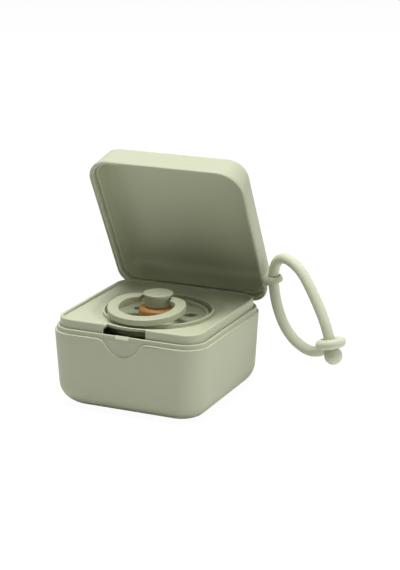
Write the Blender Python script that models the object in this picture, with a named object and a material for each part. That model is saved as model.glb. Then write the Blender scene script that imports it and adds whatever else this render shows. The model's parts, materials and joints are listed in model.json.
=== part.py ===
"""Pacifier box with a hinged lid, an insert tray, a pacifier and a silicone strap.

Metres, +Z up. The box stands on Z = 0, centred on X = Y = 0, with its front towards -Y.
The lid is drawn leaning forward over the box, as it stands when it is half open.
"""
import math

import bmesh
import bpy
from mathutils import Matrix, Vector

# Gap between pieces that touch, overrun of a cut, and how far joined shapes sink into each other
GAP = 0.0003
OVERRUN = 0.0012
BURIED = 0.0006

# Shield of the pacifier, which the box is sized for
SHIELD_RADIUS = 0.0222
SHIELD_PLAY = 0.0010

# Base shell
BASE_CORNER = 0.0115
BASE_DRAFT = 0.0013
BASE_FOOT_FILLET = 0.0109
STEP_HEIGHT = 0.0340
STEP_WIDTH = 0.0010
RIM_RISE = 0.0020
RIM_WALL = 0.0011
EDGE_ROUND = 0.0003
POCKET_DEPTH = 0.0050
SEAT_LEDGE = 0.0013
CAVITY_DRAFT = 0.0010
CAVITY_FILLET = 0.0090
FLOOR = 0.0022
SMALLEST_CORNER = 0.0005

# Finger scoop and latch tab on the base's front
SCOOP_HALF_WIDTH = 0.0120
SCOOP_DEPTH = 0.0071
SCOOP_SHOULDER = 0.0050
TAB_HALF_WIDTH = 0.0034
TAB_HEIGHT = 0.0014
TAB_PROUD = 0.0006
TAB_TOP_DROP = 0.0001

# Insert tray
TRAY_RISE = 0.0039
TRAY_WALL = 0.0016
TRAY_LIP_WIDTH = 0.0012
TRAY_LIP_HEIGHT = 0.0008
TRAY_LIP_ROUND = 0.0004
DISH_MARGIN = 0.0041
DISH_WIDTH = 0.0052
DISH_DEPTH = 0.0020
COLLAR_WALL = 0.0011
COLLAR_DROP = 0.0004
SHIELD_SEAT_DROP = 0.0045
SHIELD_SEAT_WIDTH = 0.0028
SHIELD_SEAT_THICKNESS = 0.0012
WINDOW_HALF_WIDTH = 0.0099
WINDOW_HEAD_DROP = 0.0009
WINDOW_LIP_DROP = 0.0005

# Pacifier: shield, nipple, knob and ring handle, all on the box's upright axis
SHIELD_RIM_WIDTH = 0.0015
SHIELD_RIM_HEIGHT = 0.0022
SHIELD_FACE_DROP = 0.0011
SHIELD_THICKNESS = 0.0018
VENT_RADIUS = 0.0028
VENT_OFFSET = 0.0007
NECK_RADIUS = 0.0056
BULB_RADIUS = 0.0090
NIPPLE_LENGTH = 0.0280
FLANGE_RADIUS = 0.0092
FLANGE_TOP_RADIUS = 0.0070
FLANGE_HEIGHT = 0.0037
STEM_RADIUS = 0.0035
STEM_LENGTH = 0.0090
KNOB_RADIUS = 0.0065
KNOB_WAIST = 0.0054
KNOB_FOOT_RADIUS = 0.00555
KNOB_HEIGHT = 0.0057
KNOB_DISH = 0.0005
KNOB_RIM = 0.0011
HANDLE_RADIUS = 0.0170
HANDLE_WIDTH = 0.0049
HANDLE_THICKNESS = 0.00245
HANDLE_SET_BACK = 0.0114
HANDLE_HOOK_RADIUS = 0.0050
PEG_RADIUS = 0.0010
PEG_DEPTH = 0.0016
PEG_DROP = 0.0021

# Lid shell
LID_OVERHANG = 0.00063
LID_CORNER = 0.01107
LID_TAPER = 0.00275
LID_TOP_ROUND = 0.00397
LID_PANEL = 0.0018
LID_INNER_FILLET = 0.0030
LID_INNER_TAPER = 0.0009
LIP_PLAY = 0.0004
LID_HEADROOM = 0.0008
LATCH_POCKET_PLAY = 0.0004

# Hinge
KNUCKLE_RADIUS = 0.0020
KNUCKLE_CLEARANCE = 0.00054
LID_KNUCKLE_LENGTH = 0.0234
BASE_KNUCKLE_LENGTH = 0.0060
PIN_RADIUS = 0.0009
GUSSET_HEIGHT = 0.0050

# Eyelet on the lid's side, and the strap through it
EYELET_REACH = 0.0045
EYELET_INSET = 0.00156
EYELET_LIFT = 0.00185
EYELET_WALL = 0.0013
EYELET_HEIGHT = 0.0032
EYELET_ROOT_RADIUS = 0.0015
STRAP_RADIUS = 0.0022
BALL_RADIUS = 0.00395
RING_RADIUS = 0.0045
RING_WIRE = 0.0019
RING_TO_BALL = 0.0046

# Angles in degrees
LID_LEAN = 62.22
STRAP_TURN = -25.0
HANDLE_HOOK_START = 30.0
HANDLE_HOOK_SWEEP = 50.0
RING_LEAN = 17.0
VENT_ANGLES = (30.0, 150.0, 270.0)

# Counts of facets
CORNER_STEPS = 8
FILLET_STEPS = 5
ROUND_STEPS = 48
SMALL_ROUND_STEPS = 24
CAP_STEPS = 6

# Strap route from the ring to the ball, as distance out from the eyelet and height above it
STRAP_ROUTE = (
    (0.02965, -0.02405), (0.0268, -0.0261), (0.0228, -0.0269), (0.0180, -0.0264), (0.0127, -0.0243),
    (0.0078, -0.0204), (0.0040, -0.0150), (0.0014, -0.0090), (0.0001, -0.0030), (0.0, 0.0),
    (0.0, 0.0030), (0.0010, 0.0068), (0.0034, 0.0096), (0.0070, 0.0108), (0.0120, 0.0098),
    (0.0172, 0.0066), (0.0220, 0.0017), (0.0261, -0.0036), (0.0297, -0.0086), (0.0326, -0.0136),
    (0.0346, -0.0180), (0.0357, -0.0215),
)
STRAP_POINTS = 40

SAGE = (0.60, 0.62, 0.49)
SAGE_STRAP = (0.64, 0.66, 0.53)
LATEX = (0.62, 0.34, 0.15)
STEEL = (0.62, 0.62, 0.60)

# Heights and half-widths worked out from the sizes above
collar_radius = SHIELD_RADIUS + SHIELD_PLAY
dish_radius = collar_radius + COLLAR_WALL + DISH_WIDTH
tray_half = dish_radius + DISH_MARGIN
pocket_half = tray_half + GAP
band_half = pocket_half + RIM_WALL
base_half = band_half + STEP_WIDTH
cavity_half = pocket_half - SEAT_LEDGE
rim_height = STEP_HEIGHT + RIM_RISE
seat_height = rim_height - POCKET_DEPTH
tray_corner = BASE_CORNER - (base_half - tray_half)
tray_top = rim_height + TRAY_RISE
plate_height = tray_top - TRAY_LIP_HEIGHT
dish_floor = plate_height - DISH_DEPTH
collar_top = plate_height - COLLAR_DROP
shield_seat = plate_height - SHIELD_SEAT_DROP
shield_bottom = shield_seat + GAP
shield_top = shield_bottom + SHIELD_RIM_HEIGHT
shield_face = shield_top - SHIELD_FACE_DROP
shield_rim_inner = SHIELD_RADIUS - SHIELD_RIM_WIDTH
neck_hole = NECK_RADIUS + GAP
vent_place = (neck_hole + shield_rim_inner) / 2 + VENT_OFFSET
flange_bottom = shield_face + GAP
knob_foot = flange_bottom + FLANGE_HEIGHT + GAP
knob_top = knob_foot + KNOB_HEIGHT
peg_height = knob_top - PEG_DROP
handle_drop = peg_height - plate_height - GAP - HANDLE_THICKNESS / 2
handle_tilt = math.asin(handle_drop / (HANDLE_RADIUS + HANDLE_SET_BACK))
lip_bottom = STEP_HEIGHT + GAP
lid_half = base_half + LID_OVERHANG
lip_half = band_half + LIP_PLAY
lid_ledge = rim_height + GAP
lid_inner_half = tray_half + GAP
lid_ceiling = knob_top + LID_HEADROOM
lid_top = lid_ceiling + LID_PANEL
hinge_place = Vector((0, base_half + KNUCKLE_RADIUS + KNUCKLE_CLEARANCE, lip_bottom))
eyelet_place = Vector((base_half + EYELET_REACH, lid_half - LID_CORNER - EYELET_INSET, lip_bottom + EYELET_LIFT))
eyelet_hole = STRAP_RADIUS + GAP


def clear_scene():
    for old in list(bpy.data.objects):
        bpy.data.objects.remove(old, do_unlink=True)


def plastic(name, colour, roughness, metallic=0.0):
    material = bpy.data.materials.new(name)
    material.use_nodes = True
    shader = material.node_tree.nodes["Principled BSDF"]
    shader.inputs["Base Color"].default_value = (*colour, 1)
    shader.inputs["Roughness"].default_value = roughness
    shader.inputs["Metallic"].default_value = metallic
    material.diffuse_color = (*colour, 1)
    return material


def finish_mesh(name, bm, material=None):
    """Turn a bmesh into an object whose faces point outwards."""
    bmesh.ops.recalc_face_normals(bm, faces=bm.faces)
    mesh = bpy.data.meshes.new(name)
    bm.to_mesh(mesh)
    bm.free()
    mesh.shade_smooth()
    mesh.set_sharp_from_angle(angle=math.radians(35))
    piece = bpy.data.objects.new(name, mesh)
    bpy.context.collection.objects.link(piece)
    if material:
        mesh.materials.append(material)
    return piece


def rounded_square(bm, half, corner, height):
    """A closed loop of edges round a square with round corners, at one height."""
    verts = []
    reach = half - corner
    for quarter in range(4):
        turn = math.pi / 2 * quarter
        middle = Vector((reach * math.sqrt(2) * math.cos(turn + math.pi / 4),
                         reach * math.sqrt(2) * math.sin(turn + math.pi / 4), height))
        for step in range(CORNER_STEPS + 1):
            angle = turn + math.pi / 2 * step / CORNER_STEPS
            verts.append(bm.verts.new(middle + corner * Vector((math.cos(angle), math.sin(angle), 0))))
    return verts, [bm.edges.new((verts[i - 1], verts[i])) for i in range(len(verts))]


def square_shell(name, profile, outer_half, outer_corner, material=None):
    """A closed solid skinned over rounded squares, given as (half width, height) pairs."""
    bm = bmesh.new()
    loops = []
    for half, height in profile:
        corner = max(outer_corner - (outer_half - half), SMALLEST_CORNER)
        loops.append(rounded_square(bm, half, corner, height))
    for below, above in zip(loops, loops[1:]):
        for i in range(len(below[0])):
            bm.faces.new((below[0][i - 1], below[0][i], above[0][i], above[0][i - 1]))
    bm.faces.new(loops[0][0])
    bm.faces.new(loops[-1][0])
    return finish_mesh(name, bm, material)


def turned(name, profile, material=None, steps=ROUND_STEPS, closed=False):
    """Spin a (radius, height) profile round Z; it ends on the axis, or is closed on itself."""
    bm = bmesh.new()
    verts = [bm.verts.new((radius, 0, height)) for radius, height in profile]
    edges = [bm.edges.new(pair) for pair in zip(verts, verts[1:])]
    if closed:
        edges.append(bm.edges.new((verts[-1], verts[0])))
    bmesh.ops.spin(bm, geom=verts + edges, axis=(0, 0, 1), cent=(0, 0, 0),
                   angle=2 * math.pi, steps=steps, use_merge=True)
    bmesh.ops.remove_doubles(bm, verts=bm.verts, dist=SMALLEST_CORNER / 100)
    return finish_mesh(name, bm, material)


def extruded(name, outline, start, end, axis, material=None):
    """A prism over an outline in the plane across the X, Y or Z axis."""
    bm = bmesh.new()
    places = {
        "X": lambda a, b: (start, a, b),
        "Y": lambda a, b: (a, start, b),
        "Z": lambda a, b: (a, b, start),
    }
    face = bm.faces.new([bm.verts.new(places[axis](a, b)) for a, b in outline])
    travel = {"X": (end - start, 0, 0), "Y": (0, end - start, 0), "Z": (0, 0, end - start)}[axis]
    grown = bmesh.ops.extrude_face_region(bm, geom=[face])["geom"]
    bmesh.ops.translate(bm, vec=travel, verts=[v for v in grown if isinstance(v, bmesh.types.BMVert)])
    return finish_mesh(name, bm, material)


def rod(name, radius, start, end, place, axis="X", steps=SMALL_ROUND_STEPS, material=None):
    """A round bar along X or Z, from start to end, whose centre line passes through place."""
    outline = [(place[0] + radius * math.cos(2 * math.pi * i / steps),
                place[1] + radius * math.sin(2 * math.pi * i / steps)) for i in range(steps)]
    return extruded(name, outline, start, end, axis, material)


def arc(centre_a, centre_b, radius, start, end, steps=FILLET_STEPS):
    """Points on an arc, with its angles in degrees."""
    angles = [math.radians(start + (end - start) * i / steps) for i in range(steps + 1)]
    return [(centre_a + radius * math.cos(a), centre_b + radius * math.sin(a)) for a in angles]


def boolean(target, tool, operation):
    """Cut or join a hidden helper solid, which keeps its place beside the target."""
    tool.display_type = "WIRE"
    tool.hide_render = True
    tool.parent = target.parent
    modifier = target.modifiers.new(tool.name, "BOOLEAN")
    modifier.operation = operation
    modifier.solver = "EXACT"
    modifier.object = tool


def cut(target, tool):
    boolean(target, tool, "DIFFERENCE")


def join(target, tool):
    boolean(target, tool, "UNION")


def axis_at(name, place, parent=None):
    """An empty that marks a joint's axis; what moves on it is its child."""
    empty = bpy.data.objects.new(name, None)
    bpy.context.collection.objects.link(empty)
    empty.location = place
    empty.parent = parent
    return empty


def hang_on(piece, axis, place):
    """Put a piece drawn in the box's frame under an empty that stands at place."""
    piece.data.transform(Matrix.Translation(-Vector(place)))
    piece.parent = axis


def base_wall(height):
    return base_half - BASE_DRAFT * (1 - height / STEP_HEIGHT)


def base_profile():
    foot = [(base_wall(rise) - inset, rise) for inset, rise in arc_pairs(BASE_FOOT_FILLET)]
    bowl = []
    for inset, rise in reversed(arc_pairs(CAVITY_FILLET)):
        height = FLOOR + rise
        half = cavity_half - CAVITY_DRAFT * (1 - height / seat_height)
        bowl.append((half - inset, height))
    walls = [
        (base_half, STEP_HEIGHT - EDGE_ROUND),
        (base_half - EDGE_ROUND, STEP_HEIGHT),
        (band_half, STEP_HEIGHT),
        (band_half, rim_height - EDGE_ROUND),
        (band_half - EDGE_ROUND, rim_height),
        (pocket_half + EDGE_ROUND, rim_height),
        (pocket_half, rim_height - EDGE_ROUND),
        (pocket_half, seat_height),
        (cavity_half, seat_height),
    ]
    return foot + walls + bowl


def arc_pairs(radius):
    """Inset and rise of a quarter-round from its flat end to its upright end."""
    turns = [math.pi / 2 * i / FILLET_STEPS for i in range(FILLET_STEPS + 1)]
    return [(radius * (1 - math.sin(t)), radius * (1 - math.cos(t))) for t in turns]


def scoop_outline():
    """A round-bottomed notch whose shoulders curve into the step."""
    bottom = (SCOOP_HALF_WIDTH**2 + SCOOP_DEPTH**2) / (2 * SCOOP_DEPTH) - SCOOP_SHOULDER
    bottom_height = STEP_HEIGHT - SCOOP_DEPTH + bottom
    shoulder_height = STEP_HEIGHT - SCOOP_SHOULDER
    slope = math.degrees(math.atan2(bottom_height - shoulder_height, SCOOP_HALF_WIDTH))
    left = arc(-SCOOP_HALF_WIDTH, shoulder_height, SCOOP_SHOULDER, 90, slope, CAP_STEPS)
    middle = arc(0, bottom_height, bottom, 180 + slope, 360 - slope, 2 * CAP_STEPS)
    right = arc(SCOOP_HALF_WIDTH, shoulder_height, SCOOP_SHOULDER, 180 - slope, 90, CAP_STEPS)
    top = STEP_HEIGHT + OVERRUN
    return left + middle[1:-1] + right + [(SCOOP_HALF_WIDTH, top), (-SCOOP_HALF_WIDTH, top)]


def make_base(material):
    base = square_shell("base_shell", base_profile(), base_half, BASE_CORNER, material)
    cut(base, extruded("scoop_cutter", scoop_outline(), -base_half - OVERRUN, -band_half, "Y"))
    front = -band_half
    tab_top = rim_height - TAB_TOP_DROP
    tab_outline = [
        (front + BURIED, tab_top),
        (front - TAB_PROUD / 2, tab_top),
        (front - TAB_PROUD, tab_top - TAB_HEIGHT / 3),
        (front, rim_height - TAB_HEIGHT),
        (front + BURIED, rim_height - TAB_HEIGHT),
    ]
    join(base, extruded("latch_tab", tab_outline, -TAB_HALF_WIDTH, TAB_HALF_WIDTH, "X"))
    inner = LID_KNUCKLE_LENGTH / 2 + GAP
    back, middle = hinge_place.y, hinge_place.z
    lean = math.radians(45)
    tangent = (back + KNUCKLE_RADIUS * math.sin(lean) * math.cos(lean),
               middle - KNUCKLE_RADIUS * math.cos(lean))
    gusset = [
        (base_half - BURIED, STEP_HEIGHT - EDGE_ROUND),
        (base_half - BURIED, STEP_HEIGHT - GUSSET_HEIGHT),
        tangent,
        (back, middle),
        (back, STEP_HEIGHT - EDGE_ROUND),
    ]
    for side, name in ((-1, "left"), (1, "right")):
        near, far = side * inner, side * (inner + BASE_KNUCKLE_LENGTH)
        join(base, extruded(f"base_gusset_{name}", gusset, near, far, "X"))
        join(base, rod(f"base_knuckle_{name}", KNUCKLE_RADIUS, near, far, (back, middle)))
    reach = inner + BASE_KNUCKLE_LENGTH + OVERRUN
    cut(base, rod("base_pin_bore", PIN_RADIUS + GAP, -reach, reach, (back, middle), steps=16))
    return base


def make_pin(material):
    reach = LID_KNUCKLE_LENGTH / 2 + GAP + BASE_KNUCKLE_LENGTH
    place = (hinge_place.y, hinge_place.z)
    return rod("hinge_pin", PIN_RADIUS, -reach, reach, place, steps=16, material=material)


def make_tray(material):
    inner = tray_half - TRAY_WALL
    underside = plate_height - TRAY_WALL
    lip_inner = tray_half - TRAY_LIP_WIDTH
    profile = [
        (inner, underside),
        (inner, seat_height + GAP),
        (tray_half, seat_height + GAP),
        (tray_half, tray_top - TRAY_LIP_ROUND),
        (tray_half - TRAY_LIP_ROUND, tray_top),
        (lip_inner + EDGE_ROUND, tray_top),
        (lip_inner, tray_top - EDGE_ROUND),
        (lip_inner, plate_height),
    ]
    tray = square_shell("insert_tray", profile, tray_half, tray_corner, material)
    collar_outer = collar_radius + COLLAR_WALL
    tub_radius = collar_outer + TRAY_WALL
    seat_bottom = shield_seat - SHIELD_SEAT_THICKNESS
    slope = DISH_DEPTH / (dish_radius - collar_outer)
    rise = slope * (dish_radius + BURIED - tub_radius)
    tub = [
        (0, seat_bottom),
        (tub_radius, seat_bottom),
        (tub_radius, dish_floor - TRAY_WALL),
        (dish_radius + BURIED, dish_floor - TRAY_WALL + rise),
        (dish_radius + BURIED, plate_height - BURIED),
        (0, plate_height - BURIED),
    ]
    join(tray, turned("tray_tub", tub))
    seat_inner = collar_radius - SHIELD_SEAT_WIDTH
    above = [
        (0, seat_bottom - OVERRUN),
        (seat_inner, seat_bottom - OVERRUN),
        (seat_inner, shield_seat),
        (collar_radius, shield_seat),
        (collar_radius, collar_top - EDGE_ROUND),
        (collar_radius + EDGE_ROUND, collar_top),
        (collar_outer - EDGE_ROUND, collar_top),
        (collar_outer, collar_top - EDGE_ROUND),
        (collar_outer, dish_floor),
        (dish_radius + OVERRUN, plate_height + slope * OVERRUN),
        (dish_radius + OVERRUN, tray_top + OVERRUN),
        (0, tray_top + OVERRUN),
    ]
    cut(tray, turned("dish_cutter", above))
    front = -tray_half
    head = tray_top - WINDOW_HEAD_DROP
    depth = TRAY_WALL + OVERRUN
    window = [
        (front - OVERRUN, seat_height + POCKET_DEPTH - OVERRUN),
        (front - OVERRUN, head + OVERRUN),
        (front + TRAY_WALL, head - TRAY_WALL),
        (front + depth, head - TRAY_WALL),
        (front + depth, seat_height + POCKET_DEPTH - OVERRUN),
    ]
    cut(tray, extruded("window_cutter", window, -WINDOW_HALF_WIDTH, WINDOW_HALF_WIDTH, "X"))
    notch_floor = tray_top - WINDOW_LIP_DROP
    notch = [
        (front - OVERRUN, notch_floor),
        (-lip_inner + OVERRUN, notch_floor),
        (-lip_inner + OVERRUN, tray_top + OVERRUN),
        (front - OVERRUN, tray_top + OVERRUN),
    ]
    cut(tray, extruded("lip_notch_cutter", notch, -WINDOW_HALF_WIDTH, WINDOW_HALF_WIDTH, "X"))
    return tray


def make_shield(material):
    face_edge = collar_radius - SHIELD_SEAT_WIDTH - GAP
    face_bottom = shield_face - SHIELD_THICKNESS
    profile = [
        (neck_hole, face_bottom),
        (face_edge, face_bottom),
        (face_edge, shield_bottom),
        (SHIELD_RADIUS - EDGE_ROUND, shield_bottom),
        (SHIELD_RADIUS, shield_bottom + EDGE_ROUND),
        (SHIELD_RADIUS, shield_top - EDGE_ROUND),
        (SHIELD_RADIUS - EDGE_ROUND, shield_top),
        (shield_rim_inner + EDGE_ROUND, shield_top),
        (shield_rim_inner, shield_top - EDGE_ROUND),
        (shield_rim_inner, shield_face),
        (neck_hole, shield_face),
    ]
    shield = turned("pacifier_shield", profile, material, closed=True)
    for number, angle in enumerate(VENT_ANGLES, 1):
        turn = math.radians(angle)
        place = (vent_place * math.cos(turn), vent_place * math.sin(turn))
        vent = rod(f"vent_cutter_{number}", VENT_RADIUS, face_bottom - OVERRUN, shield_top, place, "Z",
                   steps=16)
        cut(shield, vent)
    return shield


def make_nipple(material):
    tip = shield_face - SHIELD_THICKNESS - NIPPLE_LENGTH
    bulb_middle = tip + BULB_RADIUS
    join_angle = math.degrees(math.acos(NECK_RADIUS / BULB_RADIUS))
    bulb = arc(0, bulb_middle, BULB_RADIUS, -90, join_angle, 2 * CAP_STEPS)
    bore = STEM_RADIUS + GAP
    flange_top = flange_bottom + FLANGE_HEIGHT
    profile = [(0, tip)] + bulb[1:] + [
        (NECK_RADIUS, flange_bottom),
        (FLANGE_RADIUS, flange_bottom),
        (FLANGE_RADIUS, flange_bottom + EDGE_ROUND),
        (FLANGE_TOP_RADIUS + (FLANGE_RADIUS - FLANGE_TOP_RADIUS) / 2, flange_bottom + FLANGE_HEIGHT / 2),
        (FLANGE_TOP_RADIUS, flange_top),
        (bore, flange_top),
        (bore, knob_foot - STEM_LENGTH - GAP),
        (0, knob_foot - STEM_LENGTH - GAP),
    ]
    return turned("pacifier_nipple", profile, material, steps=32)


def make_knob(material):
    dish_edge = KNOB_RADIUS - KNOB_RIM
    profile = [
        (0, knob_foot - STEM_LENGTH),
        (STEM_RADIUS, knob_foot - STEM_LENGTH),
        (STEM_RADIUS, knob_foot),
        (KNOB_FOOT_RADIUS, knob_foot),
        (KNOB_WAIST, knob_foot + KNOB_HEIGHT / 3),
        (KNOB_WAIST + (KNOB_RADIUS - KNOB_WAIST) / 4, knob_foot + 2 * KNOB_HEIGHT / 3),
        (KNOB_RADIUS, knob_top - KNOB_RIM),
        (KNOB_RADIUS, knob_top - EDGE_ROUND),
        (KNOB_RADIUS - EDGE_ROUND, knob_top),
        (dish_edge, knob_top - EDGE_ROUND / 2),
        (dish_edge / 2, knob_top - KNOB_DISH),
        (0, knob_top - KNOB_DISH),
    ]
    knob = turned("pacifier_knob", profile, material, steps=32)
    inner = KNOB_WAIST - PEG_DEPTH - GAP
    for side, name in ((-1, "left"), (1, "right")):
        socket = rod(f"peg_socket_{name}", PEG_RADIUS + GAP, side * inner, side * (KNOB_RADIUS + OVERRUN),
                     (0, peg_height), steps=16)
        cut(knob, socket)
    return knob


def handle_tip():
    """Middle of the round end of the ring's right hook, about the pivot."""
    middle = HANDLE_RADIUS - HANDLE_WIDTH / 2
    start = math.radians(HANDLE_HOOK_START)
    end = math.radians(HANDLE_HOOK_START + HANDLE_HOOK_SWEEP)
    reach = middle - HANDLE_HOOK_RADIUS
    return (reach * math.cos(start) + HANDLE_HOOK_RADIUS * math.cos(end),
            reach * math.sin(start) + HANDLE_HOOK_RADIUS * math.sin(end) - HANDLE_SET_BACK)


def handle_outline():
    """Outline of the open ring from above, about the pivot, with its ends hooked towards the knob."""
    half = HANDLE_WIDTH / 2
    middle = HANDLE_RADIUS - half
    start = math.radians(HANDLE_HOOK_START)
    hook_x = (middle - HANDLE_HOOK_RADIUS) * math.cos(start)
    hook_y = (middle - HANDLE_HOOK_RADIUS) * math.sin(start) - HANDLE_SET_BACK
    end = HANDLE_HOOK_START + HANDLE_HOOK_SWEEP
    tip_x, tip_y = handle_tip()
    outer = arc(0, -HANDLE_SET_BACK, HANDLE_RADIUS, -90, HANDLE_HOOK_START, 16)
    outer += arc(hook_x, hook_y, HANDLE_HOOK_RADIUS + half, HANDLE_HOOK_START, end, CAP_STEPS)[1:]
    tip = arc(tip_x, tip_y, half, end, end + 180, CAP_STEPS)[1:-1]
    inner = arc(hook_x, hook_y, HANDLE_HOOK_RADIUS - half, end, HANDLE_HOOK_START, CAP_STEPS)
    inner += arc(0, -HANDLE_SET_BACK, HANDLE_RADIUS - HANDLE_WIDTH, HANDLE_HOOK_START, -90, 16)[1:]
    right = outer + tip + inner
    left = [(-x, y) for x, y in reversed(right)]
    return right[:-1] + left[:-1]


def make_handle(material):
    """The ring lies flat about its pivot; the empty that carries it gives the tilt."""
    half = HANDLE_THICKNESS / 2
    handle = extruded("ring_handle", handle_outline(), -half, half, "Z", material)
    handle.parent = handle_axis = axis_at("handle_axis", (0, 0, peg_height))
    handle_axis.rotation_euler.x = handle_tilt
    inner = KNOB_WAIST - PEG_DEPTH
    for side, name in ((-1, "left"), (1, "right")):
        join(handle, rod(f"handle_peg_{name}", PEG_RADIUS, side * inner, side * handle_tip()[0], (0, 0),
                         steps=16))
    return handle


def lid_wall(height):
    return lid_half - LID_TAPER * (height - lip_bottom) / (lid_top - lip_bottom)


def lid_profile():
    """From the middle of the lid's top, down its outside, round the lip and up to its ceiling."""
    outside = []
    for inset, drop in arc_pairs(LID_TOP_ROUND):
        outside.append((lid_wall(lid_top - drop) - inset, lid_top - drop))
    lip = [
        (lid_wall(lip_bottom + EDGE_ROUND), lip_bottom + EDGE_ROUND),
        (lid_half - EDGE_ROUND, lip_bottom),
        (lip_half + EDGE_ROUND, lip_bottom),
        (lip_half, lip_bottom + EDGE_ROUND),
        (lip_half, lid_ledge),
        (lid_inner_half + EDGE_ROUND, lid_ledge),
        (lid_inner_half, lid_ledge + EDGE_ROUND),
        (lid_inner_half, tray_top + GAP),
    ]
    shoulder = lid_inner_half - LID_INNER_TAPER
    inside = [(shoulder - inset, lid_ceiling - drop) for inset, drop in reversed(arc_pairs(LID_INNER_FILLET))]
    return outside + lip + inside


def make_lid(material, lid_axis):
    """The lid is drawn closed, and the empty that carries it leans it open."""
    lid = square_shell("lid_shell", lid_profile(), lid_half, LID_CORNER, material)
    half_knuckle = LID_KNUCKLE_LENGTH / 2
    back, middle = hinge_place.y, hinge_place.z
    pocket_front = -band_half - TAB_PROUD - LATCH_POCKET_PLAY
    latch_pocket = [
        (pocket_front, lip_bottom - OVERRUN),
        (pocket_front, rim_height + TAB_TOP_DROP),
        (-lip_half + OVERRUN, rim_height + TAB_TOP_DROP),
        (-lip_half + OVERRUN, lip_bottom - OVERRUN),
    ]
    pocket_half_width = TAB_HALF_WIDTH + LATCH_POCKET_PLAY
    cutters = [extruded("latch_pocket_cutter", latch_pocket, -pocket_half_width, pocket_half_width, "X")]
    for side, name in ((-1, "left"), (1, "right")):
        far = half_knuckle + 2 * GAP + BASE_KNUCKLE_LENGTH
        cutters.append(rod(f"knuckle_clearance_{name}", KNUCKLE_RADIUS + GAP, side * half_knuckle, side * far,
                           (back, middle)))
    web = [
        (lip_half + BURIED, lip_bottom + EDGE_ROUND),
        (back, lip_bottom + EDGE_ROUND),
        (back, lip_bottom + KNUCKLE_RADIUS),
        (lip_half + BURIED, lip_bottom + KNUCKLE_RADIUS),
    ]
    web_reach = half_knuckle - EDGE_ROUND
    joined = [
        extruded("lid_web", web, -web_reach, web_reach, "X"),
        rod("lid_knuckle", KNUCKLE_RADIUS, -half_knuckle, half_knuckle, (back, middle)),
        make_eyelet(),
        rod("eyelet_root", EYELET_ROOT_RADIUS, lid_half - BURIED,
            eyelet_place.x - eyelet_hole - EYELET_WALL / 2, eyelet_place.yz),
    ]
    bore_reach = half_knuckle + OVERRUN
    bore = rod("lid_pin_bore", PIN_RADIUS + GAP, -bore_reach, bore_reach, (back, middle), steps=16)
    for piece in [lid, bore, *cutters, *joined]:
        hang_on(piece, lid_axis, hinge_place)
    for cutter in cutters:
        cut(lid, cutter)
    for addition in joined:
        join(lid, addition)
    cut(lid, bore)
    return lid


def make_eyelet():
    """A ring with an oval section whose hole stands upright when the lid leans open."""
    middle = eyelet_hole + EYELET_WALL / 2
    turns = [2 * math.pi * i / 8 for i in range(8)]
    section = [(middle + EYELET_WALL / 2 * math.cos(t), EYELET_HEIGHT / 2 * math.sin(t)) for t in turns]
    ring = turned("eyelet_ring", section, steps=SMALL_ROUND_STEPS, closed=True)
    lean = Matrix.Rotation(math.radians(LID_LEAN), 4, "X")
    ring.data.transform(Matrix.Translation(eyelet_place) @ lean)
    return ring


def smooth_route(points, count):
    """Evenly numbered points on a Catmull-Rom curve through the route's points."""
    guides = [2 * points[0] - points[1], *points, 2 * points[-1] - points[-2]]
    route = []
    for i in range(count):
        place = i * (len(points) - 1) / (count - 1)
        span = min(int(place), len(points) - 2)
        t = place - span
        a, b, c, d = guides[span:span + 4]
        route.append(b + (c - a) * t / 2 + (a - b * 5 / 2 + 2 * c - d / 2) * t**2
                     + (b * 3 / 2 - a / 2 - c * 3 / 2 + d / 2) * t**3)
    return route


def make_strap(material, strap_axis):
    """Cord, ring and ball of the strap, in an upright plane through the eyelet."""
    points = [Vector((out, 0, up)) for out, up in STRAP_ROUTE]
    curve = bpy.data.curves.new("strap_cord", "CURVE")
    curve.dimensions = "3D"
    curve.bevel_depth = STRAP_RADIUS
    curve.bevel_resolution = 2
    curve.use_fill_caps = True
    spline = curve.splines.new("POLY")
    route = smooth_route(points, STRAP_POINTS)
    spline.points.add(len(route) - 1)
    for point, place in zip(spline.points, route):
        point.co = (*place, 1)
    curve.materials.append(material)
    cord = bpy.data.objects.new("strap_cord", curve)
    bpy.context.collection.objects.link(cord)
    cord.parent = strap_axis
    onward = (points[-1] - points[-2]).normalized()
    ball_place = points[-1] + onward * (BALL_RADIUS + GAP)
    ball_profile = arc(0, 0, BALL_RADIUS, -90, 90, 12)
    ball = turned("strap_ball", [(0, -BALL_RADIUS), *ball_profile[1:-1], (0, BALL_RADIUS)], material,
                  steps=SMALL_ROUND_STEPS)
    ball.data.transform(Matrix.Translation(ball_place))
    ball.parent = strap_axis
    turns = [2 * math.pi * i / 12 for i in range(12)]
    section = [(RING_RADIUS + RING_WIRE * math.cos(t), RING_WIRE * math.sin(t)) for t in turns]
    ring = turned("strap_ring", section, material, steps=SMALL_ROUND_STEPS, closed=True)
    lean = Matrix.Rotation(math.radians(-RING_LEAN), 4, "Y")
    ring.data.transform(Matrix.Translation(ball_place - onward * RING_TO_BALL) @ lean)
    ring.parent = strap_axis


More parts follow.
